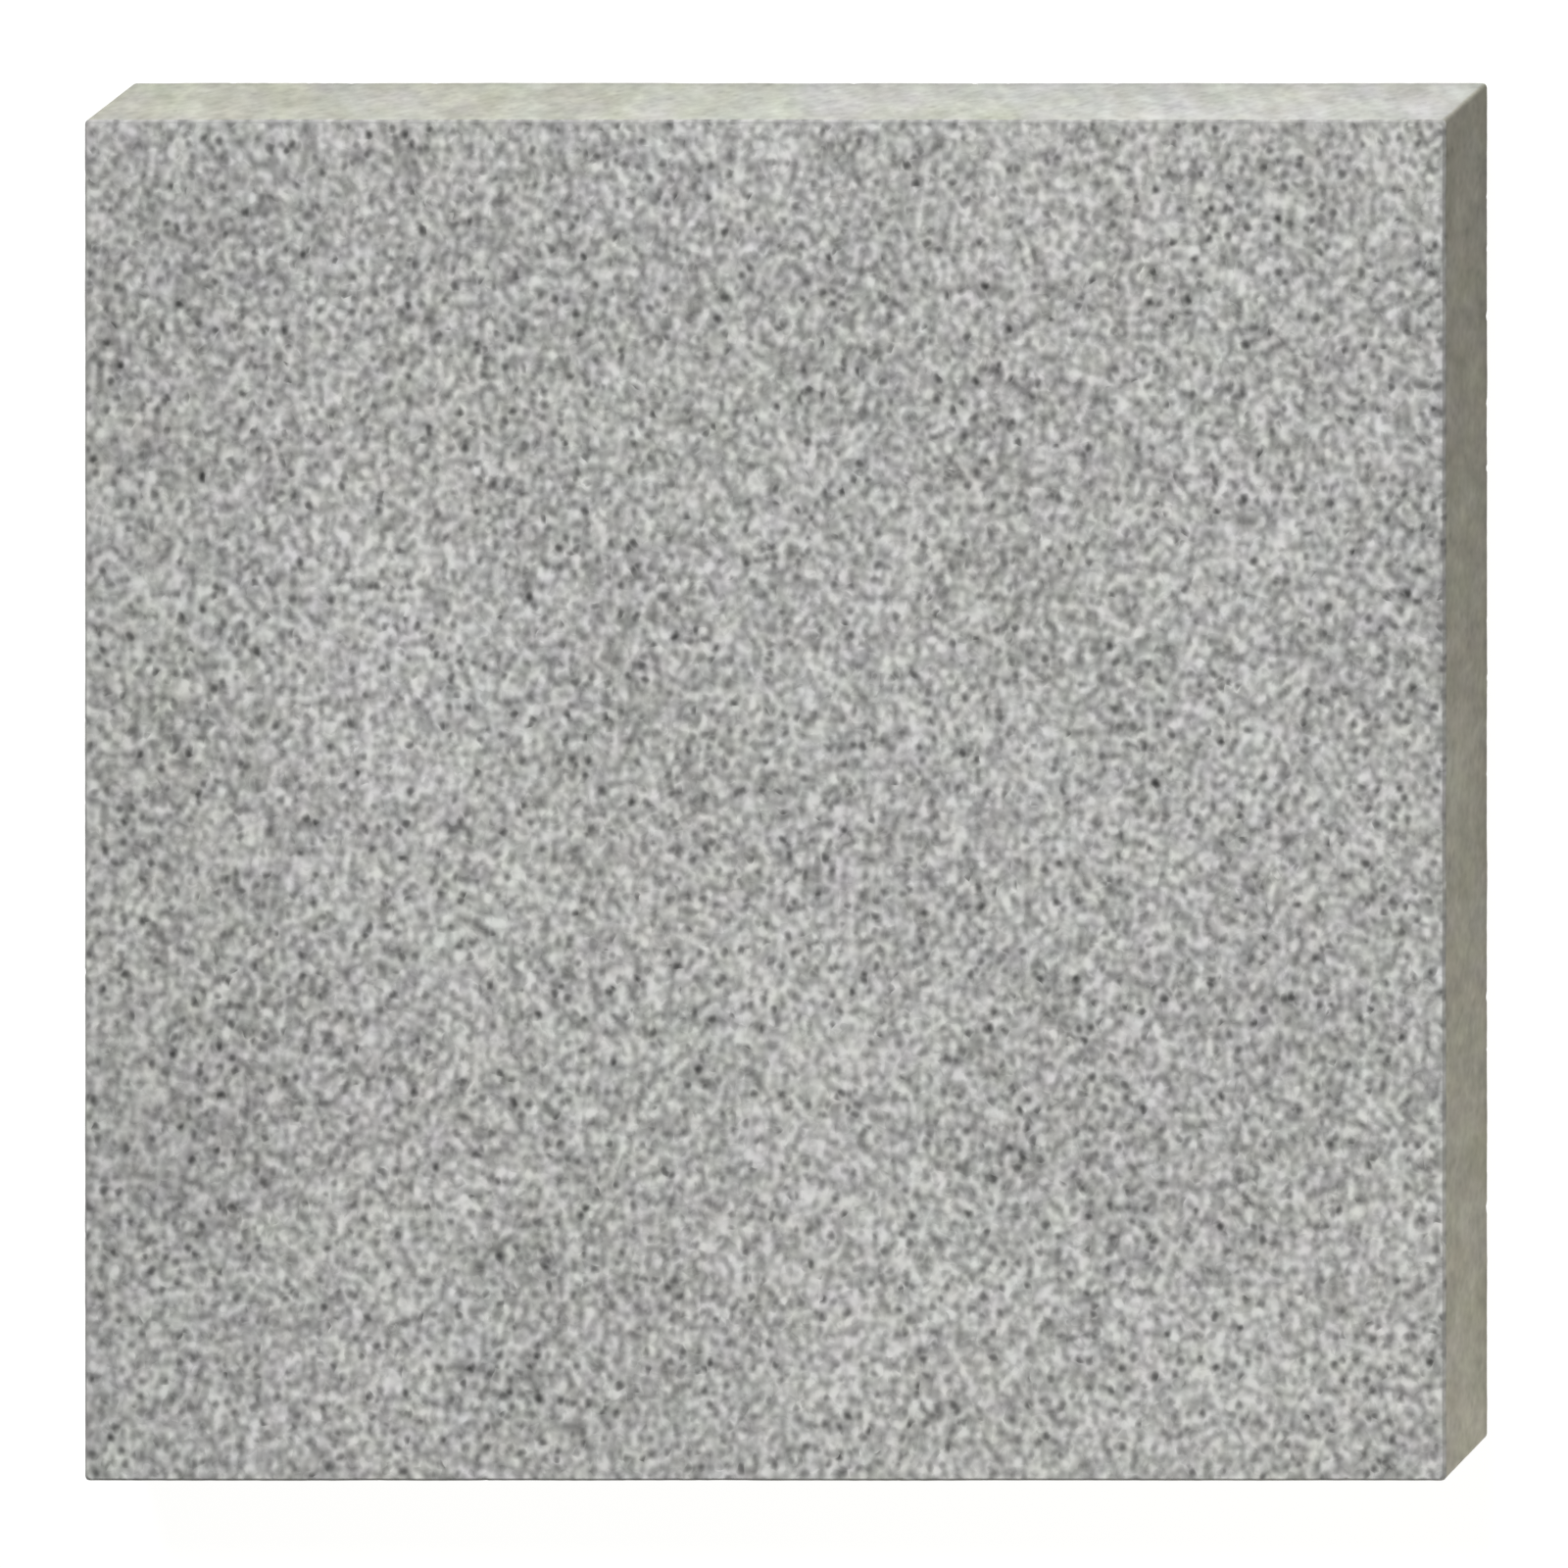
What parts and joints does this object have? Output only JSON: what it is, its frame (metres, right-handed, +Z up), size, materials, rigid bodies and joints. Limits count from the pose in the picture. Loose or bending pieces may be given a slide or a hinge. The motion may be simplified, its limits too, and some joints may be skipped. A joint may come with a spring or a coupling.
{
  "type": "granite slab",
  "caption": "Square block of speckled grey granite with a flat polished working face, sawn sides and eased edges: a hard base for stamping and punching leather.",
  "frame": {"origin": "centre of the underside, on the surface that the slab lies on", "axes": "+Z up, out of the polished working face; X and Y along the slab's square sides"},
  "size_m": [0.3048, 0.3048, 0.0254],
  "materials": {
    "granite": "speckled light grey granite of fine grain: polished working face, sawn and unpolished sides and underside"
  },
  "bodies": {
    "root": {"granite_slab": "granite"}
  },
  "joints": []
}
